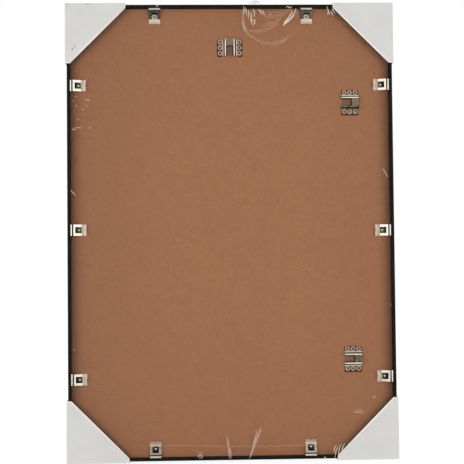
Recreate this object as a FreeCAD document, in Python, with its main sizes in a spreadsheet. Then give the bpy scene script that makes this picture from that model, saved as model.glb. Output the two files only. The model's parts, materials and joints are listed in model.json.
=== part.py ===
import FreeCAD, Part

import os
from math import degrees
from types import SimpleNamespace

import Sketcher

# A 50 by 70 cm picture frame seen in the row frame: +Z up, the picture faces -Y, the hardboard back faces +Y.
# The origin is where a nail carries the frame: the middle of the seat edge of the portrait hanger's bridge.
# Lengths are millimetres. Left and right are as seen from the front.
DIMENSIONS = {
    # picture sheet and what lies in the rebate, from front to back
    "sheet_width": 500.0,
    "sheet_height": 700.0,
    "sheet_play": 0.5,
    "glazing_thickness": 2.0,
    "insert_thickness": 0.3,
    "board_thickness": 3.0,
    # rail profile
    "wall_width": 4.0,
    "face_width": 12.0,
    "rail_depth": 19.0,
    "lip_thickness": 3.5,
    "front_round": 3.0,
    "sight_bevel": 1.4,
    "rim_chamfer": 0.5,
    "rim_line_width": 0.9,
    "rim_line_depth": 0.4,
    "groove_depth": 2.6,
    "groove_play": 0.3,
    # V-shaped nails across the mitres
    "nail_inset": 1.7,
    "nail_leg": 6.0,
    "nail_sheet": 0.6,
    "nail_height": 4.6,
    "nail_sink": 0.4,
    "nail_play": 0.05,
    # spring clips: u runs inward from the rebate wall, heights are above the board
    "clip_width": 17.6,
    "clip_sheet": 0.5,
    "clip_bend": 0.5,
    "clip_hold": 2.3,
    "clip_flange_reach": 2.9,
    "clip_flange_height": 3.6,
    "clip_crest_reach": 4.3,
    "clip_crest_height": 5.4,
    "clip_slope_reach": 17.0,
    "clip_slope_height": 0.95,
    "clip_toe_reach": 20.6,
    "clip_toe_height": 0.3,
    "clip_end_reach": 24.9,
    "clip_end_height": 2.3,
    "clip_notch_radius": 1.3,
    "window_start": 7.6,
    "window_length": 9.6,
    "window_width": 9.8,
    "tongue_width": 8.6,
    "tongue_low_reach": 13.4,
    "tongue_low_height": 0.5,
    "tongue_tip_reach": 9.9,
    "tongue_tip_height": 1.7,
    "tongue_round": 2.6,
    # clip positions: distance of the outer pair from the frame's middle, and how far a row or a middle clip drifts
    "side_clip_spacing": 229.0,
    "left_clip_drift": -0.7,
    "right_clip_drift": 3.0,
    "top_clip_spacing": 119.6,
    "top_clip_drift": -1.8,
    "bottom_clip_spacing": 120.7,
    # stamped hangers: the seat edge is the hanger's own zero
    "hanger_edge_gap": 52.0,
    "hanger_sheet": 0.8,
    "hanger_bend": 0.4,
    "bridge_width": 11.0,
    "bridge_rise": 3.0,
    "slot_width": 11.6,
    "slot_length": 17.0,
    "slot_corner": 0.8,
    "shoulder_crest": 7.1,
    "shoulder_edge": 8.3,
    "shoulder_ridge": 0.6,
    "foot_start": 9.5,
    "foot_crest": 10.7,
    "foot_end": 12.0,
    "foot_ridge": 0.5,
    "ear_reach": 15.2,
    "ear_radius": 3.7,
    "ear_pitch": 8.7,
    "ear_neck": 4.6,
    "burr_side": 3.2,
    "burr_bore": 1.25,
    "burr_play": 0.05,
    "burr_short": 0.2,
    "landscape_spacing": 201.5,
    # folded card corner protectors
    "card_thickness": 1.0,
    "protector_play": 0.4,
    "protector_leg_top_right": 91.9,
    "protector_leg_bottom_right": 93.8,
    "protector_leg_bottom_left": 93.4,
    "protector_leg_top_left": 92.5,
    "protector_stub": 5.5,
    "card_fold": 0.9,
    # how far a cut runs past what it cuts
    "overrun": 2.0,
}


class Length:
    """A length with the sheet expression that gives it, so that sums stay bound to the sheet."""

    def __init__(self, value, rule):
        self.value = value
        self.rule = rule

    def __add__(self, other):
        other = as_length(other)
        return Length(self.value + other.value, f"({self.rule} + {other.rule})")

    def __sub__(self, other):
        other = as_length(other)
        return Length(self.value - other.value, f"({self.rule} - {other.rule})")

    def __mul__(self, factor):
        return Length(self.value * factor, f"({self.rule} * {factor})")

    def __truediv__(self, factor):
        return Length(self.value / factor, f"({self.rule} / {factor})")

    def __neg__(self):
        return Length(-self.value, f"(0 - {self.rule})")

    def __radd__(self, other):
        return as_length(other) + self

    def __rsub__(self, other):
        return as_length(other) - self

    def __rmul__(self, factor):
        return self * factor


def as_length(number):
    return number if isinstance(number, Length) else Length(float(number), str(number))


def make_sheet(doc):
    """The spreadsheet of driving dimensions, and the same dimensions as bound lengths."""
    sheet = doc.addObject("Spreadsheet::Sheet", "Sizes")
    lengths = {}
    for row, (name, number) in enumerate(DIMENSIONS.items(), start=1):
        sheet.set(f"A{row}", name)
        sheet.set(f"B{row}", str(number))
        sheet.setAlias(f"B{row}", name)
        lengths[name] = Length(number, f"Sizes.{name}")
    doc.recompute()
    return SimpleNamespace(**lengths)


doc = FreeCAD.newDocument("PictureFrame")
size = make_sheet(doc)

# Sizes and places that follow from the driving dimensions.
outer_width = size.sheet_width + 2 * (size.sheet_play + size.wall_width)
outer_height = size.sheet_height + 2 * (size.sheet_play + size.wall_width)
recess = size.rail_depth - size.lip_thickness - size.glazing_thickness - size.insert_thickness - size.board_thickness
side_middle = outer_width / 2
z_top = size.hanger_edge_gap + size.bridge_width
z_middle = z_top - outer_height / 2
z_bottom = z_top - outer_height
y_board = -(size.bridge_rise + size.hanger_sheet / 2)
y_rim = y_board + recess
groove_near = size.clip_flange_height - size.groove_play
groove_far = size.clip_flange_height + size.clip_sheet + size.groove_play

# The card is folded double down the sides of a corner protector.
CARD_LAYERS_AT_SIDE = 2

# Sheet metal bends of fewer degrees than this are left without a radius.
LEAST_ROUNDED_TURN = 45

# Turning about +Y brings a piece's own +Z to the side that it faces.
TURNS = {"top": 0, "right": 90, "bottom": 180, "left": 270}


def bind(item, name, length):
    item.setExpression(name, as_length(length).rule)


def new_body(name, turn=0, x=0, y=0, z=0):
    """An empty body at a place in the row frame, turned about +Y by a number of degrees."""
    body = doc.addObject("PartDesign::Body", name)
    body.Label = name
    body.AllowCompound = True
    body.Placement = FreeCAD.Placement(FreeCAD.Vector(), FreeCAD.Rotation(FreeCAD.Vector(0, 1, 0), turn))
    for axis, length in (("x", x), ("y", y), ("z", z)):
        bind(body, f"Placement.Base.{axis}", length)
    return body


def new_sketch(body, role, name, lift=0):
    """A sketch on one of the body's own planes, lifted along that plane's normal."""
    sketch = body.newObject("Sketcher::SketchObject", name)
    plane = next(item for item in body.Origin.OriginFeatures if item.Role == role)
    sketch.AttachmentSupport = [(plane, "")]
    sketch.MapMode = "FlatFace"
    if isinstance(lift, Length):
        bind(sketch, "AttachmentOffset.Base.z", lift)
    return sketch


def constrain(sketch, *parts, length=None):
    """One constraint, bound to its length where it has one."""
    if length is None:
        sketch.addConstraint(Sketcher.Constraint(*parts))
        return
    number = sketch.addConstraint(Sketcher.Constraint(*parts, length.value))
    bind(sketch, f"Constraints[{number}]", length)


def fix_point(sketch, edge, end, x, y):
    """Holds one end of an edge at x, y from the sketch's origin."""
    for kind, axis, length in (("DistanceX", -2, x), ("DistanceY", -1, y)):
        if isinstance(length, Length):
            constrain(sketch, kind, -1, 1, edge, end, length=length)
        else:
            constrain(sketch, "PointOnObject", edge, end, axis)


def vector(x, y):
    return FreeCAD.Vector(as_length(x).value, as_length(y).value, 0)


def draw_outline(sketch, corners):
    """A closed outline of straight edges through corners given as lengths."""
    count = len(corners)
    first = sketch.GeometryCount
    for start, end in zip(corners, corners[1:] + corners[:1]):
        sketch.addGeometry(Part.LineSegment(vector(*start), vector(*end)))
    for index, corner in enumerate(corners):
        constrain(sketch, "Coincident", first + index, 2, first + (index + 1) % count, 1)
        fix_point(sketch, first + index, 1, *corner)


def draw_box(sketch, x_low, x_high, y_low, y_high):
    draw_outline(sketch, [(x_low, y_low), (x_high, y_low), (x_high, y_high), (x_low, y_high)])


def draw_circle(sketch, x, y, radius):
    edge = sketch.addGeometry(Part.Circle(vector(x, y), FreeCAD.Vector(0, 0, 1), radius.value))
    fix_point(sketch, edge, 3, x, y)
    constrain(sketch, "Radius", edge, length=radius)


def draw_square(sketch, x, y, side):
    draw_box(sketch, x - side / 2, x + side / 2, y - side / 2, y + side / 2)


def offset_points(points, distance):
    """Where the far side of a bent strip starts: each corner moved to the left by the sheet's thickness."""
    moved = []
    directions = [(end - start).normalize() for start, end in zip(points, points[1:])]
    for index, point in enumerate(points):
        before = directions[max(index - 1, 0)]
        after = directions[min(index, len(directions) - 1)]
        normal = FreeCAD.Vector(-before.y - after.y, before.x + after.x, 0).normalize()
        across = FreeCAD.Vector(-before.y, before.x, 0).dot(normal)
        moved.append(point + normal * (distance / across))
    return moved


def draw_strip(sketch, corners, sheet):
    """The section of bent sheet: corners run along one side, and the far side lies one thickness to the left."""
    near = [vector(*corner) for corner in corners]
    far = offset_points(near, sheet.value)
    last = len(near) - 2
    first = sketch.GeometryCount
    for side in (near, far):
        for start, end in zip(side, side[1:]):
            sketch.addGeometry(Part.LineSegment(start, end))
    other = first + last + 1
    head = sketch.addGeometry(Part.LineSegment(near[0], far[0]))
    tail = sketch.addGeometry(Part.LineSegment(near[-1], far[-1]))
    for index in range(last + 1):
        fix_point(sketch, first + index, 1, *corners[index])
        constrain(sketch, "Parallel", first + index, other + index)
        constrain(sketch, "Distance", other + index, 1, first + index, length=sheet)
    fix_point(sketch, first + last, 2, *corners[-1])
    for index in range(last):
        constrain(sketch, "Coincident", first + index, 2, first + index + 1, 1)
        constrain(sketch, "Coincident", other + index, 2, other + index + 1, 1)
    for cap, end, place in ((head, 1, 0), (tail, 2, last)):
        constrain(sketch, "Coincident", cap, 1, first + place, end)
        constrain(sketch, "Coincident", cap, 2, other + place, end)
        constrain(sketch, "Perpendicular", cap, first + place)
    return far


def add_pad(body, sketch, length, back_length=None, symmetric=False, flipped=False):
    pad = body.newObject("PartDesign::Pad", f"{sketch.Label}_pad")
    pad.Profile = sketch
    pad.Reversed = flipped
    bind(pad, "Length", length)
    if symmetric:
        pad.SideType = "Symmetric"
    if back_length is not None:
        pad.SideType = "Two sides"
        bind(pad, "Length2", back_length)
    doc.recompute()
    return pad


def add_pocket(body, sketch, depth=None, flipped=False):
    """A pocket of one depth, or through everything both ways where no depth is given."""
    before = body.Shape.Volume
    pocket = body.newObject("PartDesign::Pocket", f"{sketch.Label}_cut")
    pocket.Profile = sketch
    pocket.Reversed = flipped
    if depth is None:
        pocket.Type = "ThroughAll"
        pocket.SideType = "Symmetric"
    else:
        bind(pocket, "Length", depth)
    doc.recompute()
    if not pocket.Shape.Volume < before:
        raise ValueError(f"{pocket.Label} removes nothing")
    return pocket


def round_edges(body, base, radius, chosen, kind="Fillet"):
    """Rounds or bevels the edges of base that chosen(edge) picks."""
    names = [f"Edge{index}" for index, edge in enumerate(base.Shape.Edges, start=1) if chosen(edge)]
    if not names:
        raise ValueError(f"{body.Label} has no edge to treat")
    feature = body.newObject(f"PartDesign::{kind}", f"{body.Label}_{kind.lower()}")
    feature.Base = (base, names)
    bind(feature, "Radius" if kind == "Fillet" else "Size", radius)
    doc.recompute()
    return feature


def is_near(value, length):
    tolerance = 1e-4
    return abs(value - as_length(length).value) < tolerance


def runs_along(edge, axis):
    """True for a straight edge along the X, Y or Z axis."""
    if not isinstance(edge.Curve, Part.Line):
        return False
    return is_near(abs(getattr(edge.Curve.Direction, axis)), 1)


def middle_of(edge):
    return edge.valueAt((edge.FirstParameter + edge.LastParameter) / 2)


def round_bends(body, pad, near, far, sheet, bend):
    """Gives the sharp bends of a padded strip an inner radius, and an outer one larger by the sheet."""
    inner, outer = [], []
    for index in range(1, len(near) - 1):
        before = near[index] - near[index - 1]
        after = near[index + 1] - near[index]
        if degrees(before.getAngle(after)) < LEAST_ROUNDED_TURN:
            continue
        turns_left = before.cross(after).z > 0
        inner.append(far[index] if turns_left else near[index])
        outer.append(near[index] if turns_left else far[index])
    feature = pad
    for corners, radius in ((inner, bend), (outer, bend + sheet)):
        feature = round_edges(body, feature, radius, lambda edge: is_bend(edge, corners, pad))
    return feature


def is_bend(edge, corners, pad):
    """True for an edge across the strip at one of the corners, which are in the sketch's own axes."""
    if not isinstance(edge.Curve, Part.Line):
        return False
    place = pad.Profile[0].Placement.inverse().multVec(middle_of(edge))
    return any(is_near(place.x, corner.x) and is_near(place.y, corner.y) for corner in corners)


def make_rail(side, x, z, outer_length):
    """One mitred length of the extruded profile. Its own zero is the outer face, at the back rim."""
    body = new_body(f"rail_{side}", TURNS[side], x, y_rim, z)
    width, depth = size.wall_width, size.rail_depth
    floor = size.lip_thickness - depth
    line = size.rim_line_width / 2
    near, far = groove_near - recess, groove_far - recess
    outline = new_sketch(body, "YZ_Plane", f"rail_{side}_profile")
    draw_outline(
        outline,
        [
            (-size.rim_chamfer, 0),
            (0, -size.rim_chamfer),
            (0, line - width / 2),
            (-size.rim_line_depth, -width / 2),
            (0, -line - width / 2),
            (0, size.rim_chamfer - width),
            (-size.rim_chamfer, -width),
            (far, -width),
            (far, size.groove_depth - width),
            (near, size.groove_depth - width),
            (near, -width),
            (floor, -width),
            (floor, -size.face_width),
            (size.sight_bevel - depth, -size.face_width),
            (-depth, size.sight_bevel - size.face_width),
            (-depth, 0),
        ],
    )
    bar = add_pad(body, outline, outer_length, symmetric=True)

    def is_front_corner(edge):
        middle = middle_of(edge)
        return runs_along(edge, "x") and is_near(middle.y, -depth) and is_near(middle.z, 0)

    round_edges(body, bar, size.front_round, is_front_corner)

    mitres = new_sketch(body, "XZ_Plane", f"rail_{side}_mitres")
    tip, run, past = outer_length / 2, size.face_width, size.overrun
    for sign in (1, -1):
        draw_outline(
            mitres,
            [
                (sign * (tip + past), past),
                (sign * (tip + past), -run - past),
                (sign * (tip - run - past), -run - past),
            ],
        )
    add_pocket(body, mitres)

    slots = new_sketch(body, "XZ_Plane", f"rail_{side}_nail_slots")
    inset, play = size.nail_inset, size.nail_play
    for sign in (1, -1):
        draw_box(
            slots,
            sign * (tip - inset + play),
            sign * (tip - inset - size.nail_leg - play),
            play - inset,
            -inset - size.nail_sheet - play,
        )
    add_pocket(body, slots, size.nail_sink + size.nail_height + play, flipped=True)
    return body


def make_corner_nails():
    """Four V nails, one across each mitre, with a leg along each rail."""
    body = new_body("corner_v_nails", 0, 0, y_rim, z_middle)
    outline = new_sketch(body, "XZ_Plane", "nail_outlines", size.nail_sink)
    start, sheet, leg = size.nail_inset, size.nail_sheet, size.nail_leg
    for x_sign in (1, -1):
        for z_sign in (1, -1):
            steps = [(0, 0), (leg, 0), (leg, sheet), (sheet, sheet), (sheet, leg), (0, leg)]
            corners = [
                (x_sign * (outer_width / 2 - start - x), z_sign * (outer_height / 2 - start - z))
                for x, z in steps
            ]
            draw_outline(outline, corners)
    add_pad(body, outline, size.nail_height)
    return body


def make_panel(name, thickness, back_face):
    """A flat sheet in the rebate whose back face lies at back_face from the board's back."""
    body = new_body(name, 0, 0, y_board, z_middle)
    outline = new_sketch(body, "XZ_Plane", f"{name}_outline", back_face)
    half_width, half_height = size.sheet_width / 2, size.sheet_height / 2
    draw_box(outline, -half_width, half_width, -half_height, half_height)
    add_pad(body, outline, thickness)
    return body


def make_clip(name, side, x, z):
    """A spring clip: a flange held in the groove, a step, a sloping plate with a cut tongue, and a raised end."""
    body = new_body(name, TURNS[side], x, y_board, z)
    sheet, width = size.clip_sheet, size.clip_width
    strip = new_sketch(body, "YZ_Plane", f"{name}_strip")
    corners = [
        (size.clip_flange_height, size.clip_hold),
        (size.clip_flange_height, -size.clip_flange_reach),
        (size.clip_crest_height, -size.clip_crest_reach),
        (size.clip_slope_height, -size.clip_slope_reach),
        (size.clip_toe_height, -size.clip_toe_reach),
        (size.clip_end_height, -size.clip_end_reach),
    ]
    far = draw_strip(strip, corners, sheet)
    plate = add_pad(body, strip, width, symmetric=True)
    near = [vector(*corner) for corner in corners]
    round_bends(body, plate, near, far, sheet, size.clip_bend)

    window = new_sketch(body, "XZ_Plane", f"{name}_window")
    half, start, end = size.window_width / 2, size.window_start, size.window_start + size.window_length
    draw_box(window, -half, half, -end, -start)
    draw_circle(window, 0, -size.clip_end_reach, size.clip_notch_radius)
    add_pocket(body, window)

    tongue = new_sketch(body, "YZ_Plane", f"{name}_tongue")
    draw_strip(
        tongue,
        [
            (size.tongue_tip_height, -size.tongue_tip_reach),
            (size.tongue_low_height, -size.tongue_low_reach),
            (size.clip_slope_height, -size.clip_slope_reach),
            (size.clip_toe_height, -size.clip_toe_reach),
        ],
        sheet,
    )
    flap = add_pad(body, tongue, size.tongue_width, symmetric=True)

    def is_tip_corner(edge):
        middle = middle_of(edge)
        at_tip = middle.z > -size.tongue_low_reach.value / 2 - size.tongue_tip_reach.value / 2
        return at_tip and is_near(abs(middle.x), size.tongue_width / 2) and is_near(edge.Length, sheet)

    round_edges(body, flap, size.tongue_round, is_tip_corner)
    return body


def ear_places():
    """The middles of a hanger's six ears, across and along, from its seat edge."""
    middle = (size.bridge_width - size.slot_length) / 2
    return [(sign * size.ear_reach, middle + size.ear_pitch * step) for sign in (1, -1) for step in (-1, 0, 1)]


def make_hanger(name, side, x, z):
    """A stamped hanger: a bridge on two ridged shoulders, feet, and ears whose burrs grip the board."""
    body = new_body(name, TURNS[side], x, y_board, z)
    sheet, rise = size.hanger_sheet, size.bridge_rise
    channel = new_sketch(body, "XY_Plane", f"{name}_channel")
    half = [
        (size.foot_end, 0),
        (size.foot_crest, size.foot_ridge),
        (size.foot_start, 0),
        (size.shoulder_edge, rise),
        (size.shoulder_crest, rise + size.shoulder_ridge),
        (size.slot_width / 2, rise),
    ]
    corners = [(-across, height) for across, height in half] + half[::-1]
    far = draw_strip(channel, corners, sheet)
    hat = add_pad(body, channel, size.bridge_width, back_length=size.slot_length)
    near = [vector(*corner) for corner in corners]
    round_bends(body, hat, near, far, sheet, size.hanger_bend)

    slot = new_sketch(body, "XZ_Plane", f"{name}_slot")
    edge_x, bottom = size.slot_width / 2, -size.slot_length - size.overrun
    draw_box(slot, -edge_x, edge_x, bottom, 0)
    opening = add_pocket(body, slot)

    def is_seat_corner(edge):
        middle = middle_of(edge)
        return runs_along(edge, "y") and is_near(abs(middle.x), edge_x) and is_near(middle.z, 0)

    round_edges(body, opening, size.slot_corner, is_seat_corner)

    necks = new_sketch(body, "XZ_Plane", f"{name}_necks")
    ears = new_sketch(body, "XZ_Plane", f"{name}_ears")
    burrs = new_sketch(body, "XZ_Plane", f"{name}_burrs")
    bores = new_sketch(body, "XZ_Plane", f"{name}_bores")
    for across, along in ear_places():
        root = size.foot_crest if across.value > 0 else -size.foot_crest
        low, high = along - size.ear_neck / 2, along + size.ear_neck / 2
        draw_box(necks, root, across, low, high)
        draw_circle(ears, across, along, size.ear_radius)
        draw_square(burrs, across, along, size.burr_side)
        draw_circle(bores, across, along, size.burr_bore)
    add_pad(body, necks, sheet, flipped=True)
    add_pad(body, ears, sheet, flipped=True)
    add_pad(body, burrs, size.board_thickness - size.burr_short)
    add_pocket(body, bores)
    return body


# Where each hanger's seat edge lies, and the side of the frame that its bridge faces.
HANGERS = {
    "hanger_portrait": ("top", 0, 0),
    "hanger_landscape_upper": ("left", z_top - side_middle, z_middle + size.landscape_spacing),
    "hanger_landscape_lower": ("left", z_top - side_middle, z_middle - size.landscape_spacing),
}


def make_board():
    """The hardboard back, pierced for the hangers' burrs."""
    body = make_panel("backing_board", size.board_thickness, 0)
    holes = new_sketch(body, "XZ_Plane", "burr_holes")
    hole = size.burr_side + 2 * size.burr_play
    for side, x, z in HANGERS.values():
        for across, along in ear_places():
            if side == "top":
                draw_square(holes, x + across, z + along - z_middle, hole)
            else:
                draw_square(holes, x - along, z + across - z_middle, hole)
    add_pocket(body, holes)
    return body


def make_protector(name, side, x_sign, z_sign, leg):
    """A folded card pocket slipped over one corner. Its own zero is the frame's outer corner at the back rim."""
    corner_x, corner_z = x_sign * side_middle, z_middle + z_sign * outer_height / 2
    body = new_body(name, TURNS[side], corner_x, y_rim, corner_z)
    play, card = size.protector_play, size.card_thickness
    reach = play + card * CARD_LAYERS_AT_SIDE
    stub = size.protector_stub
    lid = new_sketch(body, "XZ_Plane", f"{name}_outline", -play - card)
    draw_outline(lid, [(reach, reach), (-leg, reach), (-leg, -stub), (-stub, -leg), (reach, -leg)])
    block = add_pad(body, lid, size.rail_depth + 2 * (play + card))

    def is_fold(edge):
        middle = middle_of(edge)
        outer_face = is_near(middle.x, reach) or is_near(middle.z, reach)
        return outer_face and (runs_along(edge, "x") or runs_along(edge, "z"))

    round_edges(body, block, size.card_fold, is_fold)
    inside = new_sketch(body, "XZ_Plane", f"{name}_inside", -play)
    past = leg + size.overrun
    draw_box(inside, -past, play, -past, play)
    add_pocket(body, inside, size.rail_depth + 2 * play, flipped=True)
    return body


def make_all():
    """Every sub-part of the frame, each a body of its own."""
    pieces = [
        make_rail("top", 0, z_top, outer_width),
        make_rail("bottom", 0, z_bottom, outer_width),
        make_rail("left", -side_middle, z_middle, outer_height),
        make_rail("right", side_middle, z_middle, outer_height),
        make_corner_nails(),
        make_panel("glazing_pane", size.glazing_thickness, size.board_thickness + size.insert_thickness),
        make_panel("insert_sheet", size.insert_thickness, size.board_thickness),
        make_board(),
    ]
    for name, (side, x, z) in HANGERS.items():
        pieces.append(make_hanger(name, side, x, z))
    rebate = side_middle - size.wall_width
    for word, sign, drift in (("left", -1, size.left_clip_drift), ("right", 1, size.right_clip_drift)):
        top_x = size.top_clip_drift + sign * size.top_clip_spacing
        pieces.append(make_clip(f"clip_top_{word}", "top", top_x, z_top - size.wall_width))
        bottom_x = sign * size.bottom_clip_spacing
        pieces.append(make_clip(f"clip_bottom_{word}", "bottom", bottom_x, z_bottom + size.wall_width))
        for place, step in (("upper", 1), ("middle", 0), ("lower", -1)):
            clip_z = z_middle + drift * (1 - abs(step)) + step * size.side_clip_spacing
            pieces.append(make_clip(f"clip_{word}_{place}", word, sign * rebate, clip_z))
    for name, side, x_sign, z_sign, leg in (
        ("protector_top_right", "top", 1, 1, size.protector_leg_top_right),
        ("protector_bottom_right", "right", 1, -1, size.protector_leg_bottom_right),
        ("protector_bottom_left", "bottom", -1, -1, size.protector_leg_bottom_left),
        ("protector_top_left", "left", -1, 1, size.protector_leg_top_left),
    ):
        pieces.append(make_protector(name, side, x_sign, z_sign, leg))
    return pieces


def check_and_write(pieces):
    """Writes each sub-part's STEP file, once every object of the document is sound."""
    doc.recompute()
    for item in doc.Objects:
        if "Invalid" in item.State or "Error" in item.State:
            raise ValueError(f"{item.Label} failed: {item.State}")
    for piece in pieces:
        if piece.Shape.isNull() or not piece.Shape.isValid() or not piece.Shape.Solids:
            raise ValueError(f"{piece.Label} has no sound shape")
    os.makedirs("parts", exist_ok=True)
    for piece in pieces:
        piece.Shape.exportStep(f"parts/{piece.Label}.step")
        print(piece.Label, len(piece.Shape.Solids), "solids", round(piece.Shape.Volume), "mm3")


check_and_write(make_all())
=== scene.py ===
"""The looks of a 50 by 70 cm picture frame, seen from behind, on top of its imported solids. Lengths are metres."""

import json
from math import cos, pi, radians, sin

import bmesh
import bpy
from mathutils import Matrix, Vector


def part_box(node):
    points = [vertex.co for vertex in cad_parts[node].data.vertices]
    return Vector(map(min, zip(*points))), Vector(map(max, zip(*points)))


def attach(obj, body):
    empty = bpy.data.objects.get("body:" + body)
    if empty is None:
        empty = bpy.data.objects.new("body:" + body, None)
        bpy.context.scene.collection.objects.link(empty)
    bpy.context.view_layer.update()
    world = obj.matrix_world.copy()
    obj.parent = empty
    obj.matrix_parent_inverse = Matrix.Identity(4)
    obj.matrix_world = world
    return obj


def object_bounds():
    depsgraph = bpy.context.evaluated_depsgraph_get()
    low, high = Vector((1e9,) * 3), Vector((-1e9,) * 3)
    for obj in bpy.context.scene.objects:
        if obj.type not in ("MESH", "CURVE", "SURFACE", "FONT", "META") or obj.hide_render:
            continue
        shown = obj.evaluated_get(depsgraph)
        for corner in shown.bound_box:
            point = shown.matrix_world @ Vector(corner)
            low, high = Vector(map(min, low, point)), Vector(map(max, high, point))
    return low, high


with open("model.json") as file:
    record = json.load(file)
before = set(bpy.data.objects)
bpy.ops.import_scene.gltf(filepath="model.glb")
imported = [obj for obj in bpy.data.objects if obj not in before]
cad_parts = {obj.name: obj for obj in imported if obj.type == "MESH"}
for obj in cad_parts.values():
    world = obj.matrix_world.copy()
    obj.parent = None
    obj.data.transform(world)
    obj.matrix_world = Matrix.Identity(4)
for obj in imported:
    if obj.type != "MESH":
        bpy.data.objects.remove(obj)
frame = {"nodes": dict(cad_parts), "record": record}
CAD_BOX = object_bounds()

MM = 0.001
BACK = Vector((0, 1, 0))
FRAME_UP = Vector((0, 0, 1))

# The photograph's frame and camera, from a fit to the frame's four corners.
IMAGE_SIDE = 464
FOCAL_PIXELS = 1028.507
SENSOR_WIDTH = 36
CAMERA_PLACE = Vector((0.051741, 1.605008, -0.346805))
CAMERA_TURNS = {"X": -1.90541, "Y": 1.87073, "Z": 0.49838}
FACING_THE_BACK = Matrix(((-1, 0, 0), (0, 0, 1), (0, 1, 0)))

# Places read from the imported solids.
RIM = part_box("rail_left")[1].y
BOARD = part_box("backing_board")[1].y
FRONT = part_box("rail_left")[0].y
FRAME_LOW = Vector((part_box("rail_left")[0].x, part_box("rail_left")[0].y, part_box("rail_bottom")[0].z))
FRAME_HIGH = Vector((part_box("rail_right")[1].x, RIM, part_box("rail_top")[1].z))
MIDDLE = (FRAME_LOW + FRAME_HIGH) / 2
MOUNTS = {mount["name"]: mount for mount in frame["record"]["mounts"]}

RAILS = {"rail_top": "X", "rail_bottom": "X", "rail_left": "Z", "rail_right": "Z"}
HANGERS = {
    "hanger_portrait": "nail_seat_portrait",
    "hanger_landscape_upper": "nail_seat_landscape_upper",
    "hanger_landscape_lower": "nail_seat_landscape_lower",
}
SHADED_HANGER = "hanger_landscape_upper"
CLIPS = sorted(name for name in frame["nodes"] if name.startswith("clip_"))
PROTECTORS = sorted(name for name in frame["nodes"] if name.startswith("protector_"))

# Where a clip and a hanger change between their plain, lit and shaded materials, with the order of their materials.
FLANGE_REACH = 2.45 * MM
STEP_REACH = 5.0 * MM
END_REACH = 16.9 * MM
TONGUE_REACH = 9.8 * MM
TONGUE_HALF = 4.35 * MM
HIGHLIGHT_BELOW = -0.40
PLATE_HALF = 6.9 * MM
EAR_ROOT = 11.3 * MM
FLAT_SHARE = 0.98
CLIP_PLATE, CLIP_FLANGE, CLIP_END, CLIP_TONGUE, CLIP_STEP = range(5)
HANGER_PLATE, HANGER_FOLD, HANGER_EAR = range(3)

# Stamped details that the solids leave out. Turned forms are (radius, height) pairs.
SHEET_HANGER = 0.8 * MM
EAR_REACH = 15.2 * MM
EAR_PITCH = 8.7 * MM
EAR_MIDDLE = -3.0 * MM
COLLAR = [(x * MM, y * MM) for x, y in (
    (1.25, -0.48), (1.25, 0.05), (1.5, 0.16), (2.0, 0.30), (2.5, 0.46), (2.9, 0.50), (3.2, 0.34), (3.5, -0.02)
)]
RING = [(x * MM, y * MM) for x, y in ((2.6, 0.40), (2.7, 0.60), (2.95, 0.70), (3.2, 0.56), (3.3, 0.25))]
LATHE_SIDES = 36
SLOT_LENGTH = 17.0 * MM
SLOT_HALF = 5.8 * MM
BRIDGE_WIDTH = 11.0 * MM
REBATE_WALL = 4.0 * MM
FLANGE_HALF = 8.6 * MM
FLANGE_TOP = 4.1 * MM
FLANGE_LIP = ((0.4 * MM, 0.0), (0.4 * MM, 0.72 * MM), (0.6 * MM, 0.78 * MM), (2.1 * MM, 0.12 * MM), (2.2 * MM, 0.0))
WINDOW_REACH = (7.6 * MM, 17.2 * MM)
WINDOW_HALF = 4.9 * MM
DIMPLE_REACH = 13.2 * MM
DIMPLE_BASE = 1.0 * MM
DIMPLE_RADIUS = 1.5 * MM
DIMPLE_HEIGHT = 0.9 * MM
DOME_ANGLES = [radians(degree) for degree in (4, 16, 30, 44, 58, 72, 86, 100)]

# Beads on a hanger's ridges, as reach, rise and width, and half-round ridges in general.
RIDGES = ((6.95 * MM, 4.30 * MM, 1.9 * MM), (10.5 * MM, 1.20 * MM, 1.2 * MM))
BEAD_HEIGHT = 0.5 * MM
BEAD_SHORT = 0.3 * MM
RIDGE_END = 0.35
RIDGE_TAPER = 0.6
RIDGE_FLOOR = -0.25
SPAN_STEPS = 6
SHORT_SPAN_STEPS = 8

# Patches of painted shadow and shade on the board.
PATCH_POINTS = 48
PATCH_POWER = 10
PATCH_TOP = 0.98
PATCH_THICKNESS = 0.06 * MM
WINDOW_SHADOW_SPREAD = 1.0 * MM
MARK_HALF = 0.9 * MM
MARK_LIFT = 0.8 * MM
EAR_SHADOW = 5.0 * MM
EAR_SHADOW_DROP = 0.9 * MM

# The board's fibres, as stretch and turn of each layer, its painted shade towards the edges and its painted shadow
# beside the side rails.
FIBRE_LAYERS = (((7, 1, 1), 20), ((1, 1, 8), -35), ((5, 1, 1), 75))
BOARD_PAINTED_SHADE = (0.20, 0.095, 0.055)
BOARD_RIM_PAINTED_SHADOW = (0.06, 0.035, 0.025)

# Card corner protectors, with a painted highlight on their cut edges and a strip of painted shadow under each diagonal
# edge.
CARD_STUB = 5.5 * MM
CUT_EDGE_WIDTH = 2.2 * MM
CUT_EDGE_HEIGHT = 0.45 * MM
EDGE_SHADOW_DEPTH = 1.2 * MM
EDGE_SHADOW_PROUD = 0.1 * MM
EDGE_SHADOW_WIDTH = 3.0 * MM
EDGE_SHADOW_THICKNESS = 0.18 * MM

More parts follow.
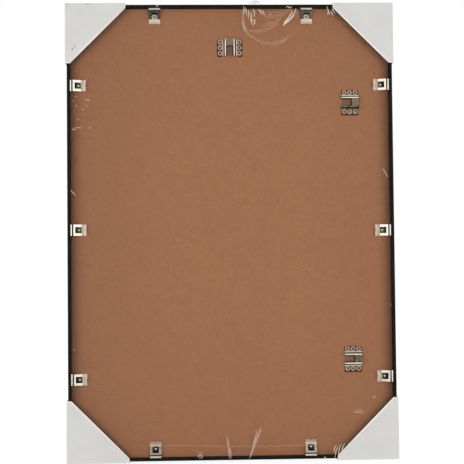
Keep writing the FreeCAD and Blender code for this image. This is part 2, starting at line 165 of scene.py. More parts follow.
# The shrink film, and painted shade of film wrinkles on one card, by the photograph's pixels.
FILM_GAP = 0.12 * MM
FILM_RUN = 0.03
FILM_SAG = 0.25 * MM
FILM_WAVES = (23, 17)
FILM_CELLS = (30, 42)
MARKED_CARD = "protector_top_right"
CARD_MARK_WIDTH = 0.8 * MM
CARD_MARK_HEIGHT = 0.08 * MM
CARD_MARKS = (
    ((71.8, 49.6), (73.0, 48.2), (74.0, 47.4)),
    ((74.6, 48.6), (74.9, 46.0), (75.2, 43.8)),
    ((72.2, 47.4), (72.0, 49.2), (72.6, 50.8)),
    ((66.0, 4.4), (67.2, 4.9), (68.6, 4.5)),
    ((85.0, 4.2), (87.4, 4.6), (89.2, 4.2)),
)

# Creases by the photograph's pixels, light in colour as painted glints and sheen: material, width, height, and the
# lines that they follow.
CREASES = {
    "sharp_creases": (
        "fold",
        1.15 * MM,
        0.40 * MM,
        (
            ((243.7, 5.7), (244.0, 10.2), (243.8, 15.0)),
            ((245.6, 7.2), (246.0, 11.5), (247.3, 15.3)),
            ((250.7, 11.5), (251.4, 16.0), (251.0, 20.5), (252.6, 25.5)),
            ((255.0, 19.0), (254.6, 22.6), (253.0, 25.5)),
            ((250.2, 19.6), (252.4, 20.6), (254.0, 19.4)),
            ((252.6, 8.6), (254.4, 12.4), (253.8, 17.0)),
            ((247.6, 9.6), (249.0, 13.2), (248.2, 18.6)),
            ((258.0, 9.2), (260.5, 11.4), (261.2, 14.8)),
            ((262.4, 10.0), (263.4, 12.4), (264.5, 15.3)),
            ((269.4, 14.8), (270.6, 13.8)),
            ((295.6, 8.2), (295.0, 11.6), (293.6, 15.0)),
            ((291.5, 9.6), (291.8, 12.6), (290.6, 15.6)),
            ((286.0, 7.6), (287.6, 6.4), (289.6, 7.8), (292.0, 6.2)),
            ((326.7, 6.1), (328.3, 11.2), (327.2, 15.3)),
            ((328.3, 11.2), (329.8, 15.3)),
            ((332.3, 8.2), (332.9, 10.2), (335.4, 13.8)),
            ((330.8, 11.2), (333.4, 15.8)),
            ((335.0, 458.0), (336.0, 451.0), (338.2, 446.0)),
            ((338.0, 457.6), (339.2, 449.0), (341.4, 443.6)),
            ((341.0, 455.6), (342.4, 448.6), (344.8, 442.8)),
            ((333.4, 452.0), (334.6, 448.0), (336.4, 444.8)),
        ),
    ),
    "bright_streaks": (
        "fold",
        2.1 * MM,
        0.55 * MM,
        (
            ((294.4, 12.6), (292.6, 16.4), (288.4, 20.8), (282.6, 25.8)),
            ((291.0, 13.6), (288.4, 18.0), (285.0, 22.2), (283.6, 24.6)),
        ),
    ),
    "soft_folds": (
        "fold_soft",
        1.5 * MM,
        0.35 * MM,
        (
            ((260.6, 427.6), (258.8, 434.0), (254.0, 446.0), (250.6, 456.0)),
            ((257.4, 430.0), (255.4, 438.0), (252.6, 447.0)),
            ((254.6, 444.0), (252.0, 451.0), (249.0, 458.6)),
            ((226.8, 437.6), (228.6, 447.0), (229.4, 458.8)),
            ((230.2, 448.0), (230.8, 453.0), (231.0, 459.0)),
            ((354.0, 413.0), (358.0, 411.8), (363.0, 413.6)),
            ((372.0, 398.0), (376.0, 396.4)),
            ((242.4, 20.0), (243.6, 26.0), (246.2, 32.0)),
        ),
    ),
    "tail_loop": (
        "tail",
        1.5 * MM,
        0.5 * MM,
        (
            ((248.6, 5.6), (250.6, 2.6), (253.8, 1.2), (257.2, 1.8), (259.0, 3.8), (257.6, 6.0)),
            ((252.0, 5.4), (253.4, 3.4), (255.6, 3.4), (256.4, 5.6)),
        ),
    ),
    "small_glints": (
        "fold",
        0.95 * MM,
        0.30 * MM,
        (
            ((70.6, 190.4), (73.0, 192.6), (75.8, 196.0)),
            ((73.4, 349.6), (74.8, 350.4)),
            ((382.4, 168.4), (385.0, 172.0), (387.6, 177.6)),
            ((390.6, 303.6), (391.4, 305.0)),
            ((128.4, 5.4), (129.0, 4.2)),
            ((134.2, 5.6), (134.8, 4.4)),
            ((140.6, 5.6), (141.4, 4.2)),
            ((156.2, 7.0), (156.6, 4.2)),
            ((157.4, 6.6), (158.0, 4.4)),
            ((197.4, 457.8), (198.6, 455.8), (200.8, 455.4), (202.4, 456.8), (202.2, 459.2)),
            ((199.6, 459.0), (200.2, 457.4), (201.0, 457.6)),
            ((324.0, 458.6), (325.2, 456.8), (326.0, 458.4)),
            ((316.4, 459.4), (318.0, 458.6), (320.2, 459.2)),
        ),
    ),
    "pale_glints": (
        "fold_soft",
        1.4 * MM,
        0.30 * MM,
        (
            ((75.2, 96.0), (76.8, 96.8)),
            ((84.2, 99.2), (87.0, 99.8), (90.0, 99.4)),
            ((85.4, 105.2), (87.0, 106.0)),
            ((75.2, 106.2), (76.6, 105.6)),
            ((82.2, 109.0), (83.8, 109.8)),
            ((77.4, 119.8), (78.6, 118.8)),
            ((74.0, 128.2), (77.6, 127.6), (82.0, 128.2)),
            ((88.0, 128.2), (91.0, 127.8)),
            ((71.4, 128.8), (73.6, 129.6), (76.0, 129.0)),
            ((73.0, 100.6), (74.2, 101.4)),
            ((88.4, 101.0), (89.6, 100.0)),
        ),
    ),
    "soft_bands": (
        "sheen_band",
        6.0 * MM,
        0.30 * MM,
        (
            ((242.6, 9.0), (243.2, 20.0), (245.6, 31.0), (251.0, 38.0)),
            ((245.0, 29.6), (251.6, 31.2), (259.3, 31.0), (269.5, 28.6), (279.0, 23.0)),
            ((245.0, 31.0), (256.4, 39.4), (268.6, 43.4), (280.8, 41.0), (290.0, 34.8)),
            ((249.0, 34.6), (258.4, 41.0), (270.6, 44.9), (280.8, 42.8), (287.0, 38.8)),
            ((257.0, 9.0), (268.0, 17.0), (282.0, 14.0), (292.0, 7.6)),
            ((262.0, 26.0), (274.0, 22.6), (284.0, 15.0)),
            ((262.0, 427.0), (257.0, 440.0), (250.0, 459.0)),
            ((227.0, 436.0), (229.0, 448.0), (230.0, 459.0)),
            ((196.0, 454.0), (200.0, 452.6), (203.6, 455.0)),
        ),
    ),
    "faint_folds": (
        "sheen_band",
        2.4 * MM,
        0.30 * MM,
        (
            ((349.0, 408.0), (353.0, 411.0), (358.0, 410.0), (364.0, 412.0), (369.0, 411.4)),
            ((356.0, 407.4), (360.0, 409.6), (366.0, 409.0)),
            ((134.0, 446.6), (190.0, 445.6), (250.0, 446.4), (300.0, 445.6), (334.0, 446.2)),
            ((258.0, 26.8), (266.0, 24.6), (272.0, 20.8)),
            ((268.0, 12.6), (276.0, 12.2), (283.0, 9.0)),
            ((296.8, 9.4), (297.4, 13.0), (296.0, 17.0)),
        ),
    ),
}

# The studio. Each soft box has its inner and outer plan points on one side, and how bright it is.
SOFT_BOXES = {
    "main": ((0.66, 2.20), (1.75, 1.15), 2.34),
    "side": ((1.80, 1.05), (1.80, 0.10), 1.62),
    "front": ((0.66, -2.20), (1.75, -1.15), 1.3),
}
LAMP_HEIGHT = 1.7
LAMP_MIDDLE = -0.20
STUDIO_LEVELS = (0.05, 0.44)
STUDIO_HEIGHTS = (-0.6, 0.8)
FLOOR_DROP = 0.2 * MM
FLOOR_RADIUS = 6.0
FLOOR_SIDES = 96
FLOOR_GLOW = 1.10
FLOOR_SEEN = 0.95
SWEEP_COLOURS = (0.92, 0.015)
SWEEP_REACH = (0.35, 0.95)
RUNNER_EDGES = (0.35, 0.60)
SHADOW_REACH = (0.22, 0.70)
SHADOW_SHARES = (0.80, 1.0)


def set_input(tree, node, key, value):
    if isinstance(value, bpy.types.NodeSocket):
        tree.links.new(value, node.inputs[key])
    else:
        node.inputs[key].default_value = value


def math_node(tree, operation, *values):
    node = tree.nodes.new("ShaderNodeMath")
    node.operation = operation
    for key, value in enumerate(values):
        set_input(tree, node, key, value)
    return node.outputs[0]


def ramp_node(tree, value, low, high, from_low, from_high):
    """A number that runs from low to high as value runs from from_low to from_high."""
    node = tree.nodes.new("ShaderNodeMapRange")
    limits = {"From Min": from_low, "From Max": from_high, "To Min": low, "To Max": high}
    for socket, limit in limits.items():
        node.inputs[socket].default_value = limit
    tree.links.new(value, node.inputs["Value"])
    return node.outputs["Result"]


class Paint:
    """A Principled material with short calls for the nodes that feed it."""

    def __init__(self, name, **constants):
        self.material = bpy.data.materials.new(name)
        self.material.use_nodes = True
        self.tree = self.material.node_tree
        self.shader = self.tree.nodes["Principled BSDF"]
        self.coordinates = self.tree.nodes.new("ShaderNodeTexCoord").outputs["Object"]
        for socket, value in constants.items():
            self.shader.inputs[socket.replace("_", " ")].default_value = value

    def noise(self, size, detail=3.0, roughness=0.55, stretch=(1, 1, 1), turn=0.0):
        """Noise whose blotches are about size metres across, stretched along the axes, turned about Y."""
        mapping = self.tree.nodes.new("ShaderNodeMapping")
        mapping.inputs["Rotation"].default_value = (0, radians(turn), 0)
        mapping.inputs["Scale"].default_value = [1 / (size * share) for share in stretch]
        self.tree.links.new(self.coordinates, mapping.inputs["Vector"])
        noise = self.tree.nodes.new("ShaderNodeTexNoise")
        for socket, value in {"Scale": 1.0, "Detail": detail, "Roughness": roughness}.items():
            noise.inputs[socket].default_value = value
        self.tree.links.new(mapping.outputs["Vector"], noise.inputs["Vector"])
        return noise.outputs["Fac"]

    def ramp(self, value, low, high, from_low=0.3, from_high=0.7):
        return ramp_node(self.tree, value, low, high, from_low, from_high)

    def mix(self, share, first, second):
        node = self.tree.nodes.new("ShaderNodeMix")
        node.data_type = "RGBA"
        set_input(self.tree, node, 0, share)
        for key, colour in ((6, first), (7, second)):
            set_input(self.tree, node, key, colour if isinstance(colour, bpy.types.NodeSocket) else (*colour, 1))
        return node.outputs[2]

    def math(self, operation, *values):
        return math_node(self.tree, operation, *values)

    def along(self, axis):
        node = self.tree.nodes.new("ShaderNodeSeparateXYZ")
        self.tree.links.new(self.coordinates, node.inputs[0])
        return node.outputs[axis]

    def bump(self, height, distance, strength=1.0):
        node = self.tree.nodes.new("ShaderNodeBump")
        node.inputs["Distance"].default_value = distance
        node.inputs["Strength"].default_value = strength
        self.tree.links.new(height, node.inputs["Height"])
        self.tree.links.new(node.outputs["Normal"], self.shader.inputs["Normal"])

    def feed(self, **sockets):
        for socket, value in sockets.items():
            self.tree.links.new(value, self.shader.inputs[socket.replace("_", " ")])
        return self.material


def black_plastic(axis):
    """Extruded black plastic with fine die lines along the rail."""
    paint = Paint(f"black_plastic_{axis}", Specular_IOR_Level=0.09)
    stretch = (60, 1, 1) if axis == "X" else (1, 1, 60)
    lines = paint.noise(0.35 * MM, 4, 0.6, stretch)
    grain = paint.noise(0.5 * MM, 3, 0.6)
    cloud = paint.noise(25 * MM, 3)
    base = paint.mix(paint.ramp(cloud, 0, 1), (0.0030, 0.0028, 0.0022), (0.0065, 0.0060, 0.0048))
    colour = paint.mix(paint.ramp(lines, 0, 0.5, 0.45, 0.75), base, (0.014, 0.013, 0.010))
    paint.bump(paint.math("ADD", lines, paint.math("MULTIPLY", grain, 0.5)), 0.04 * MM)
    return paint.feed(Base_Color=colour, Roughness=paint.ramp(lines, 0.42, 0.58))


def hardboard():
    """Smooth brown hardboard: blotches, grain, short pressed fibres, dark flecks, and painted shade towards its edges.
    """
    paint = Paint("hardboard", Specular_IOR_Level=0.08)
    clouds = paint.noise(70 * MM, 4, 0.5)
    blotches = paint.noise(6 * MM, 4, 0.6)
    patches = paint.noise(15 * MM, 5, 0.65)
    fibres = [paint.noise(0.45 * MM, 4, 0.65, stretch, turn) for stretch, turn in FIBRE_LAYERS]
    grain = paint.noise(2.6 * MM, 3, 0.7)
    flecks = paint.noise(1.1 * MM, 2, 0.5)
    colour = paint.mix(paint.ramp(clouds, 0, 1), (0.325, 0.144, 0.070), (0.350, 0.151, 0.073))
    colour = paint.mix(paint.ramp(blotches, 0, 0.42), colour, (0.370, 0.166, 0.082))
    colour = paint.mix(paint.ramp(patches, 0, 0.45, 0.45, 0.72), colour, (0.285, 0.120, 0.064))
    colour = paint.mix(paint.ramp(grain, 0, 0.5, 0.42, 0.70), colour, (0.410, 0.190, 0.098))
    colour = paint.mix(paint.ramp(grain, 0.4, 0, 0.30, 0.55), colour, (0.285, 0.122, 0.062))
    for layer in fibres:
        colour = paint.mix(paint.ramp(layer, 0, 0.30, 0.5, 0.75), colour, (0.46, 0.222, 0.113))
    colour = paint.mix(paint.ramp(flecks, 0, 0.45, 0.68, 0.78), colour, (0.20, 0.085, 0.045))
    # Painted shade: darker towards the left and right edges, more on the +X side, and towards the top and bottom, with
    # a darker painted shadow next to the side rails.
    aside = paint.math("ABSOLUTE", paint.along("X"))
    upright = paint.math("ABSOLUTE", paint.math("SUBTRACT", paint.along("Z"), MIDDLE.z))
    colour = paint.mix(paint.ramp(aside, 0, 0.14, 0.10, 0.235), colour, BOARD_PAINTED_SHADE)
    colour = paint.mix(paint.ramp(aside, 0, 0.55, 0.232, 0.251), colour, BOARD_RIM_PAINTED_SHADOW)
    colour = paint.mix(paint.ramp(paint.along("X"), 0, 0.12, 0.06, 0.22), colour, BOARD_PAINTED_SHADE)
    colour = paint.mix(paint.ramp(upright, 0, 0.12, 0.12, 0.32), colour, BOARD_PAINTED_SHADE)
    paint.bump(paint.math("ADD", fibres[0], fibres[1]), 0.05 * MM, 0.6)
    return paint.feed(Base_Color=colour, Roughness=paint.ramp(blotches, 0.68, 0.82))


def card():
    """White-lined card with faint fibres and soft dents."""
    paint = Paint("white_card", Specular_IOR_Level=0.2)
    clouds = paint.noise(40 * MM, 3)
    fibres = paint.noise(0.5 * MM, 4, 0.6, (5, 1, 1), 35)
    specks = paint.noise(1.4 * MM, 2, 0.5)
    colour = paint.mix(paint.ramp(clouds, 0, 1), (0.675, 0.670, 0.645), (0.715, 0.711, 0.692))
    colour = paint.mix(paint.ramp(fibres, 0, 0.3, 0.45, 0.8), colour, (0.60, 0.59, 0.56))
    colour = paint.mix(paint.ramp(specks, 0, 0.4, 0.70, 0.80), colour, (0.46, 0.43, 0.38))
    paint.bump(paint.math("ADD", fibres, paint.math("MULTIPLY", clouds, 6.0)), 0.05 * MM, 0.5)
    return paint.feed(Base_Color=colour, Roughness=paint.ramp(clouds, 0.55, 0.68))


def cut_card():
    """The fluffed edge where the card was cut, painted pale as a highlight."""
    paint = Paint("cut_card_edge_highlight", Specular_IOR_Level=0.15)
    fluff = paint.noise(0.7 * MM, 5, 0.7)
    colour = paint.mix(paint.ramp(fluff, 0, 1), (0.93, 0.87, 0.77), (0.98, 0.94, 0.87))
    paint.bump(fluff, 0.15 * MM)
    return paint.feed(Base_Color=colour, Roughness=paint.ramp(fluff, 0.7, 0.9))


def brushed(name, dark, light, stretch, low, high, metallic=1.0):
    """Plated sheet steel: rolling lines, smudges and fine scratches."""
    paint = Paint(name, Metallic=metallic)
    lines = paint.noise(0.22 * MM, 4, 0.6, stretch)
    smudge = paint.noise(5 * MM, 4, 0.6)
    scratch = paint.noise(0.3 * MM, 2, 0.5, (24, 1, 1), 28)
    colour = paint.mix(paint.ramp(smudge, 0, 1), dark, light)
    wear_and_shade = paint.math("ADD", paint.ramp(lines, low, high), paint.ramp(scratch, 0, 0.12, 0.62, 0.7))
    roughness = paint.math("ADD", wear_and_shade, paint.ramp(smudge, 0, 0.08))
    paint.bump(lines, 0.012 * MM, 0.6)
    return paint.feed(Base_Color=colour, Roughness=roughness)


def shade_paint(name, dark, light):
    """A dark smeared colour on board, card and steel that stands for painted shade and shadow."""
    paint = Paint(name, Specular_IOR_Level=0.1)
    smear = paint.noise(1.2 * MM, 4, 0.6)
    colour = paint.mix(paint.ramp(smear, 0, 1), dark, light)
    paint.bump(smear, 0.05 * MM)
    return paint.feed(Base_Color=colour, Roughness=paint.ramp(smear, 0.5, 0.7))


def paper():
    """Plain matt paper."""
    paint = Paint("insert_paper", Specular_IOR_Level=0.2)
    fibres = paint.noise(0.8 * MM, 4, 0.6)
    clouds = paint.noise(60 * MM, 3)
    colour = paint.mix(paint.ramp(clouds, 0, 1), (0.80, 0.79, 0.75), (0.84, 0.83, 0.80))
    colour = paint.mix(paint.ramp(fibres, 0, 0.2), colour, (0.72, 0.71, 0.68))
    paint.bump(fibres, 0.03 * MM)
    return paint.feed(Base_Color=colour, Roughness=paint.ramp(fibres, 0.75, 0.9))


def clear(name, colour, alpha, roughness):
    """Clear sheet that lets most light through: glass or film."""
    paint = Paint(name, Alpha=alpha, Specular_IOR_Level=0.8)
    ripple = paint.noise(30 * MM, 3)
    tint = paint.mix(paint.ramp(ripple, 0, 1), colour, [0.94 * channel for channel in colour])
    paint.bump(ripple, 0.4 * MM, 0.4)
    return paint.feed(Base_Color=tint, Roughness=paint.ramp(ripple, roughness, roughness * 1.6))


# Stretch of the rolling lines in the clips' strip and in the hangers' sheet.
ROLLED = (1, 1, 16)
DRAWN = (1, 1, 14)
MATERIALS = {
    "plastic_X": black_plastic("X"),
    "plastic_Z": black_plastic("Z"),
    "board": hardboard(),
    "card": card(),
    "cut_card": cut_card(),
    # The clips' steel, with lit and shaded copies of it: painted highlights, a painted warm reflection, painted sheen
    # and painted shade.
    "clip": brushed("clip_steel", (0.44, 0.40, 0.34), (0.52, 0.475, 0.41), ROLLED, 0.13, 0.22),
    "clip_highlight": brushed("clip_steel_painted_highlight", (0.82, 0.73, 0.63), (0.94, 0.86, 0.77), ROLLED, 0.13, 0.22),
    "clip_warm_reflection": brushed("clip_steel_painted_warm_reflection", (0.64, 0.53, 0.42), (0.76, 0.65, 0.53), ROLLED, 0.15, 0.25),
    "clip_end_pale": brushed("clip_steel_end_pale", (0.66, 0.57, 0.45), (0.84, 0.75, 0.62), ROLLED, 0.30, 0.42, 0.3),
    "clip_flange": brushed("clip_steel_flange_highlight", (0.86, 0.80, 0.70), (0.94, 0.89, 0.80), ROLLED, 0.40, 0.52, 0.2),
    "clip_end": brushed("clip_steel_end", (0.50, 0.40, 0.30), (0.66, 0.54, 0.42), ROLLED, 0.30, 0.42, 0.45),
    "clip_tongue": brushed("clip_steel_painted_shade", (0.02, 0.017, 0.011), (0.085, 0.070, 0.048), (1, 1, 8), 0.22, 0.36),
    # The hangers' steel, with painted shade on the side hangers, painted highlights on beads and eyelet rims, painted
    # shade in the folds and a painted reflection of the board on the ears.
    "hanger": brushed("hanger_steel", (0.64, 0.47, 0.31), (0.82, 0.62, 0.42), DRAWN, 0.10, 0.17),
    "hanger_dull": brushed("hanger_steel_painted_shade", (0.17, 0.14, 0.085), (0.27, 0.23, 0.15), DRAWN, 0.16, 0.26),
    "hanger_bead": brushed("hanger_steel_bead_highlight", (0.94, 0.83, 0.66), (0.99, 0.91, 0.76), DRAWN, 0.34, 0.46, 0.0),
    "eyelet_rim": brushed("eyelet_steel_rim_highlight", (0.66, 0.53, 0.40), (0.86, 0.72, 0.56), (1, 1, 4), 0.30, 0.42, 0.2),
    "fold_dark": shade_paint("steel_fold_painted_shade", (0.012, 0.008, 0.005), (0.045, 0.032, 0.020)),
    "eyelet": brushed("eyelet_steel_board_reflection", (0.20, 0.105, 0.062), (0.36, 0.20, 0.125), (1, 1, 4), 0.30, 0.42, 0.3),
    "nail": brushed("nail_steel", (0.42, 0.42, 0.42), (0.56, 0.56, 0.56), (12, 1, 1), 0.3, 0.45),
    # Painted shadow and shade on the board, and under the cards' edges.
    "shade_paint": shade_paint("board_painted_shadow", (0.010, 0.006, 0.003), (0.035, 0.018, 0.009)),
    "ear_contact_shadow": shade_paint("board_painted_contact_shadow", (0.030, 0.016, 0.009), (0.085, 0.043, 0.026)),
    "wear_and_shade": shade_paint("board_painted_slot_shade", (0.20, 0.098, 0.065), (0.27, 0.130, 0.083)),
    "card_edge_shadow": shade_paint("edge_shadow_strip", (0.020, 0.011, 0.006), (0.045, 0.024, 0.014)),
    "paper": paper(),
    "glass": clear("pane_glass", (0.80, 0.88, 0.85), 0.16, 0.03),
    "film": clear("shrink_film", (0.9, 0.9, 0.9), 0.004, 0.10),
    # The film's creases and bands: painted glints and sheen in light, warm colours.
    "fold": clear("shrink_film_glint", (1.0, 0.93, 0.84), 0.72, 0.16),
    "fold_soft": clear("shrink_film_soft_glint", (1.0, 0.86, 0.72), 0.34, 0.20),
    "sheen_band": clear("shrink_film_band_sheen", (0.98, 0.66, 0.44), 0.055, 0.45),
    "tail": clear("shrink_film_tail", (0.40, 0.39, 0.34), 0.42, 0.20),
    # Painted shade of film wrinkles on one card.
    "shaded_crease": shade_paint("card_film_crease_shade", (0.20, 0.19, 0.17), (0.36, 0.34, 0.31)),
}


def paint_node(node, *materials):
    mesh = frame["nodes"][node].data
    mesh.materials.clear()
    for material in materials:
        mesh.materials.append(MATERIALS[material])
    return mesh


def inward_of(node):
    """The direction from a clip's rail to the frame's middle."""
    low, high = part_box(node)
    centre = (low + high) / 2
    if "_top_" in node or "_bottom_" in node:
        return Vector((0, 0, -1 if centre.z > MIDDLE.z else 1))
    return Vector((-1 if centre.x > MIDDLE.x else 1, 0, 0))


def clip_axes(node):
    """A clip's own origin on the rebate wall at the board's back, and its inward and sideways directions."""
    low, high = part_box(node)
    inward = inward_of(node)
    sideways = inward.cross(BACK)
    face = FRAME_LOW if inward.x + inward.z > 0 else FRAME_HIGH
    centre = (low + high) / 2
    origin = centre + inward * (face - centre).dot(inward) + inward * REBATE_WALL
    origin.y = BOARD
    return origin, inward, sideways


def plate_of(origin, inward):
    """A clip's plate, in tones matched to the photograph: a painted warm reflection in the bottom rail, a painted
    highlight low on the side rails.
    """
    if inward == FRAME_UP:
        return "clip_warm_reflection"
    return "clip_highlight" if origin.z < HIGHLIGHT_BELOW else "clip"


def paint_clip(node):
    """The flange carries a painted highlight, the raised end a painted sheen, the step painted shade, and all but the
    top clips' tongues painted shade; the top clips' tongues take the end's painted sheen and their ends a paler
    painted highlight.
    """
    origin, inward, sideways = clip_axes(node)
    tongue, end = ("clip_end", "clip_end_pale") if inward == -FRAME_UP else ("clip_tongue", "clip_end")
    mesh = paint_node(node, plate_of(origin, inward), "clip_flange", end, tongue, "fold_dark")
    for polygon in mesh.polygons:
        corners = [mesh.vertices[index].co - origin for index in polygon.vertices]
        reaches = [corner.dot(inward) for corner in corners]
        spread = max(abs(corner.dot(sideways)) for corner in corners)
        part = CLIP_PLATE
        if max(reaches) < FLANGE_REACH:
            part = CLIP_FLANGE
        elif max(reaches) < STEP_REACH:
            part = CLIP_STEP
        elif min(reaches) > END_REACH:
            part = CLIP_END
        elif spread < TONGUE_HALF and min(reaches) > TONGUE_REACH and max(reaches) < WINDOW_REACH[1]:
            part = CLIP_TONGUE
        polygon.material_index = part


def paint_hanger(node):
    """The flat plate keeps the steel's colour, in painted shade on the two side hangers. The folds beside it are in
    painted shade, the ears in a painted reflection of the board.
    """
    plate = "hanger" if node == "hanger_portrait" else "hanger_dull"
    mesh = paint_node(node, plate, "fold_dark", "eyelet")
    seat, _, across = hanger_axes(MOUNTS[HANGERS[node]])
    for polygon in mesh.polygons:
        reach = abs((polygon.center - seat).dot(across))
        part = HANGER_PLATE
        if reach > EAR_ROOT:
            part = HANGER_EAR
        elif reach > PLATE_HALF or abs(polygon.normal.y) < FLAT_SHARE:
            part = HANGER_FOLD
        polygon.material_index = part


def paint_solids():
    for rail, axis in RAILS.items():
        paint_node(rail, f"plastic_{axis}")
    for name in HANGERS:
        paint_hanger(name)
    for name in CLIPS:
        paint_clip(name)
    for name in PROTECTORS:
        paint_node(name, "card")
    paint_node("corner_v_nails", "nail")
    paint_node("backing_board", "board")
    paint_node("insert_sheet", "paper")
    paint_node("glazing_pane", "glass")


def new_piece(name, points, faces, material, body, slot=None, smooth=True):
    """A mesh piece in the row frame that rides on a body."""
    mesh = bpy.data.meshes.new(name)
    mesh.from_pydata([tuple(point) for point in points], [], faces)
    mesh.materials.append(MATERIALS[material])
    edit = bmesh.new()
    edit.from_mesh(mesh)
    bmesh.ops.recalc_face_normals(edit, faces=edit.faces)
    edit.to_mesh(mesh)
    edit.free()
    mesh.polygons.foreach_set("use_smooth", [smooth] * len(faces))
    mesh.update()
    piece = bpy.data.objects.new(name, mesh)
    bpy.context.scene.collection.objects.link(piece)
    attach(piece, body)


def add_lathe(points, faces, centre, profile):
    """Adds a turned form about +Y at centre. The profile is (radius, height) pairs."""
    first = len(points)
    for step in range(LATHE_SIDES):
        angle = 2 * pi * step / LATHE_SIDES
        for radius, height in profile:
            points.append(centre + Vector((radius * cos(angle), height, radius * sin(angle))))
    count = len(profile)
    for step in range(LATHE_SIDES):
        here, there = first + step * count, first + (step + 1) % LATHE_SIDES * count
        for index in range(count - 1):
            faces.append((here + index, here + index + 1, there + index + 1, there + index))


def make_eyelets(name, mount):
    """The drawn collars round the six burr holes of one hanger."""
    seat, up, across = hanger_axes(mount)
    seat.y += SHEET_HANGER
    collar, ring = ([], []), ([], [])
    for side in (-1, 1):
        for step in (-1, 0, 1):
            centre = seat + across * side * EAR_REACH + up * (EAR_MIDDLE + step * EAR_PITCH)
            add_lathe(*collar, centre, COLLAR)
            add_lathe(*ring, centre, RING)
    # The collars take the ears' painted reflection of the board, the rims a painted highlight.
    new_piece(f"{name}_eyelets", *collar, "eyelet", "frame", "hanger_steel")
    new_piece(f"{name}_eyelet_rims", *ring, "eyelet_rim", "frame", "hanger_steel")


def make_clip_details(node):
    """The pressed dome on a clip's tongue, and the turned-up lip on the flange of a side clip."""
    origin, inward, sideways = clip_axes(node)
    centre = origin + inward * DIMPLE_REACH + BACK * DIMPLE_BASE
    profile = [(DIMPLE_RADIUS * sin(angle), DIMPLE_HEIGHT * cos(angle)) for angle in DOME_ANGLES]
    points, faces = [], []
    add_lathe(points, faces, centre, profile)
    # The top clips' domes take the tongue's painted shade, the others a painted highlight.
    dome = "clip_tongue" if inward == -FRAME_UP else "clip_highlight"
    new_piece(f"{node}_dimple", points, faces, dome, node, "clip_steel")
    if inward.z:
        return
    points, faces = [], []
    for sign in (-1, 1):
        end = origin + sideways * sign * FLANGE_HALF
        points.extend(end + inward * reach + BACK * (FLANGE_TOP + lift) for reach, lift in FLANGE_LIP)
    count = len(FLANGE_LIP)
    for index in range(count):
        side = (index + 1) % count
        faces.append((index, side, count + side, count + index))
    faces.append(tuple(reversed(range(count))))
    faces.append(tuple(range(count, 2 * count)))
    new_piece(f"{node}_lip", points, faces, plate_of(origin, inward), node, "clip_steel", smooth=False)


def add_patch(points, faces, middle, along, across):
    """A thin rounded patch lying on the board. along and across are its half sides."""
    first, count = len(points), PATCH_POINTS
    for share, lift in ((1.0, 0.0), (PATCH_TOP, 1.0)):
        for step in range(count):
            angle = 2 * pi * step / count
            x, y = cos(angle), sin(angle)
            square = (x ** PATCH_POWER + y ** PATCH_POWER) ** (-1 / PATCH_POWER)
            points.append(middle + (along * x + across * y) * square * share + BACK * PATCH_THICKNESS * lift)
    for step in range(count):
        side = (step + 1) % count
        faces.append((first + step, first + side, first + count + side, first + count + step))
    faces.append(tuple(range(first + count, first + 2 * count)))
    faces.append(tuple(reversed(range(first, first + count))))


def make_window_shadow(node):
    """A patch of painted shadow on the board under a clip's window."""
    origin, inward, sideways = clip_axes(node)
    middle = origin + inward * (sum(WINDOW_REACH) / 2)
    along = inward * ((WINDOW_REACH[1] - WINDOW_REACH[0]) / 2 + WINDOW_SHADOW_SPREAD)
    points, faces = [], []
    add_patch(points, faces, middle, along, sideways * (WINDOW_HALF + WINDOW_SHADOW_SPREAD))
    new_piece(f"{node}_window_shadow", points, faces, "shade_paint", "frame", "hardboard", smooth=False)


def hanger_axes(mount):
    """A hanger's seat edge on the board, the way its bridge faces, and the direction across it."""
    seat = Vector(mount["pos_m"])
    seat.y = BOARD
    up = -Vector(mount["axis"])
    return seat, up, up.cross(BACK)


def make_hanger_marks(name, mount):
    """Beads along the ridges in a painted highlight, in painted shade on the lower side of one side hanger, and
    painted shadow on the board round the ears, in the slot and beside it.
    """
    seat, up, across = hanger_axes(mount)
    points, faces = [], []
    low, high = -SLOT_LENGTH + BEAD_SHORT, BRIDGE_WIDTH - BEAD_SHORT
    shaded_ridges = ([], [])
    for reach, rise, width in RIDGES:
        for sign in (-1, 1):
            line = seat + across * sign * reach + BACK * rise
            is_shaded = name == SHADED_HANGER and (across * sign).z < 0
            lists = shaded_ridges if is_shaded else (points, faces)
            add_ridge(*lists, [line + up * low, line + up * high], width, BEAD_HEIGHT, taper=False, rows=12)
    new_piece(f"{name}_beads", points, faces, "hanger_bead", "frame", "hanger_steel")
    if shaded_ridges[0]:
        new_piece(f"{name}_shaded_beads", *shaded_ridges, "hanger_dull", "frame", "hanger_steel")
    points, faces = [], []
    for sign in (-1, 1):
        ears = seat + across * sign * EAR_REACH + up * EAR_MIDDLE - FRAME_UP * EAR_SHADOW_DROP
        add_patch(points, faces, ears, up * (EAR_PITCH + EAR_SHADOW), across * EAR_SHADOW)
    new_piece(f"{name}_ear_shadow", points, faces, "ear_contact_shadow", "frame", "hardboard", smooth=False)
    # Painted shade on the board in the slot, and painted shadow along its sides and under the bridge.
    points, faces = [], []
    middle = seat - up * (SLOT_LENGTH / 2 - MARK_LIFT)
    add_patch(points, faces, middle, up * SLOT_LENGTH / 2, across * SLOT_HALF)
    new_piece(f"{name}_slot_shade_patch", points, faces, "wear_and_shade", "frame", "hardboard", smooth=False)
    points, faces = [], []
    for sign in (-1, 1):
        side = middle + across * sign * (SLOT_HALF - MARK_HALF / 2) + BACK * PATCH_THICKNESS
        add_patch(points, faces, side, up * SLOT_LENGTH / 2, across * MARK_HALF)
    add_patch(points, faces, seat + BACK * PATCH_THICKNESS, up * MARK_HALF, across * SLOT_HALF)
    new_piece(f"{name}_slot_edge_shadows", points, faces, "shade_paint", "frame", "hardboard", smooth=False)


